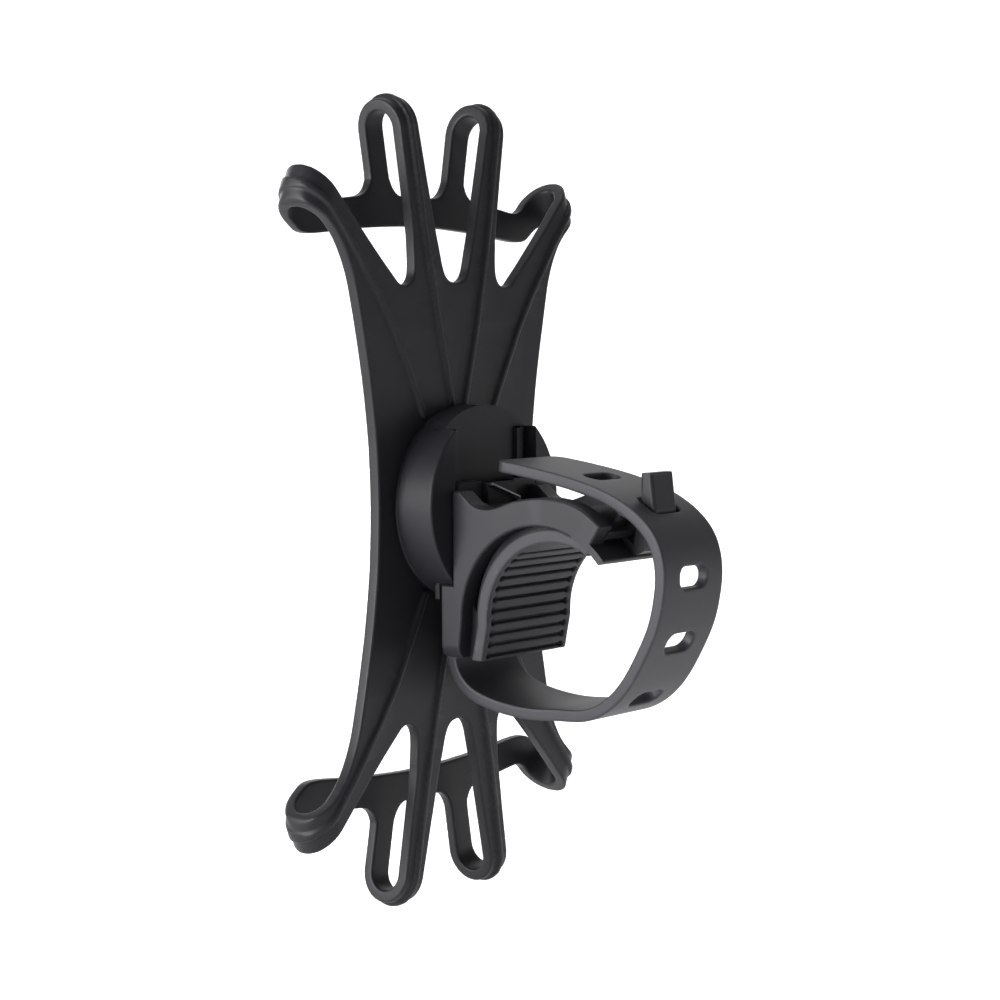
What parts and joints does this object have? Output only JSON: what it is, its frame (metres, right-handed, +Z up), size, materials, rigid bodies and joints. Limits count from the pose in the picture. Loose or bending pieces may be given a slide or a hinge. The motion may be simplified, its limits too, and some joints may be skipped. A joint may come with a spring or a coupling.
{
  "type": "phone handlebar mount",
  "caption": "Phone holder for a handlebar: a stretchy cradle with corner and finger loops on a swivelling hub that lifts off a strap-on clamp.",
  "frame": {"origin": "centre of the handlebar, on its axis, midway along the clamp", "axes": "+X along the handlebar, to the right as the rider sees it; +Z up, along the cradle's length; the phone faces -Y, so the clamp lies behind it at +Y"},
  "size_m": [0.0792, 0.0689, 0.1604],
  "materials": {
    "cradle_rubber": "moulded silicone rubber, matt with a soft sheen",
    "cap_plastic": "fine matt",
    "hub_plastic": "satin moulded",
    "inner_plastic": "plain moulded",
    "ring_plastic": "plain moulded",
    "clamp_plastic": "satin moulded, glass filled",
    "hook_plastic": "satin moulded",
    "pad_rubber": "matt",
    "strap_rubber": "matt silicone rubber",
    "brass": "turned",
    "steel": "dark zinc plated"
  },
  "bodies": {
    "clamp": {"saddle": "clamp_plastic", "rail_plate": "clamp_plastic", "rail_screws": "steel", "rubber_pad": "pad_rubber", "strap_hook": "hook_plastic", "hook_screw": "steel", "strap_anchor_bar": "clamp_plastic", "anchor_screws": "steel", "strap_root": "strap_rubber", "lever_pin": "steel", "lever_spring": "steel", "latch_leaf": "steel", "leaf_screw": "steel"},
    "hub": {"hub_housing": "hub_plastic", "threaded_insert": "brass", "spindle_screw": "steel", "wave_washer": "steel", "friction_ring": "ring_plastic"},
    "cradle": {"silicone_cradle": "cradle_rubber", "front_cap": "cap_plastic", "swivel_flange": "inner_plastic"},
    "lever": {"release_lever": "clamp_plastic"},
    "strap_a": {"strap_lower": "strap_rubber"},
    "strap_b": {"strap_front": "strap_rubber"},
    "strap_c": {"strap_tail": "strap_rubber"}
  },
  "joints": [
    {"name": "quick_release", "type": "slide", "parent": "clamp", "child": "hub", "axis": [0, 0, 1], "range_m": [0, 0.036], "deforming": ["latch_leaf"]},
    {"name": "cradle_spin", "type": "hinge", "parent": "hub", "child": "cradle", "pos_m": [0, -0.0332, 0.0213], "axis": [0, 1, 0], "continuous": true},
    {"name": "lever_press", "type": "hinge", "parent": "clamp", "child": "lever", "pos_m": [0, -0.0233, 0.0198], "axis": [1, 0, 0], "range_deg": [0, 20], "stiffness_Nm_per_rad": 0.02, "deforming": ["latch_leaf", "lever_spring"]},
    {"name": "strap_open", "type": "hinge", "parent": "clamp", "child": "strap_a", "pos_m": [0, -0.0264, -0.01254], "axis": [-1, 0, 0], "range_deg": [0, 50], "stiffness_Nm_per_rad": 0.15, "deforming": ["strap_lower", "strap_front", "strap_tail"]},
    {"name": "strap_bend", "type": "hinge", "parent": "strap_a", "child": "strap_b", "pos_m": [0, 0.01593, -0.00707], "axis": [-1, 0, 0], "range_deg": [0, 60], "stiffness_Nm_per_rad": 0.15, "deforming": ["strap_front", "strap_tail"]},
    {"name": "tail_lift", "type": "hinge", "parent": "strap_b", "child": "strap_c", "pos_m": [0, 0.02072, 0.01559], "axis": [-1, 0, 0], "range_deg": [0, 75], "stiffness_Nm_per_rad": 0.15, "deforming": ["strap_tail"]}
  ],
  "couplings": [
    {"joint": "strap_bend", "follows": "strap_open", "ratio": 1.1}
  ]
}
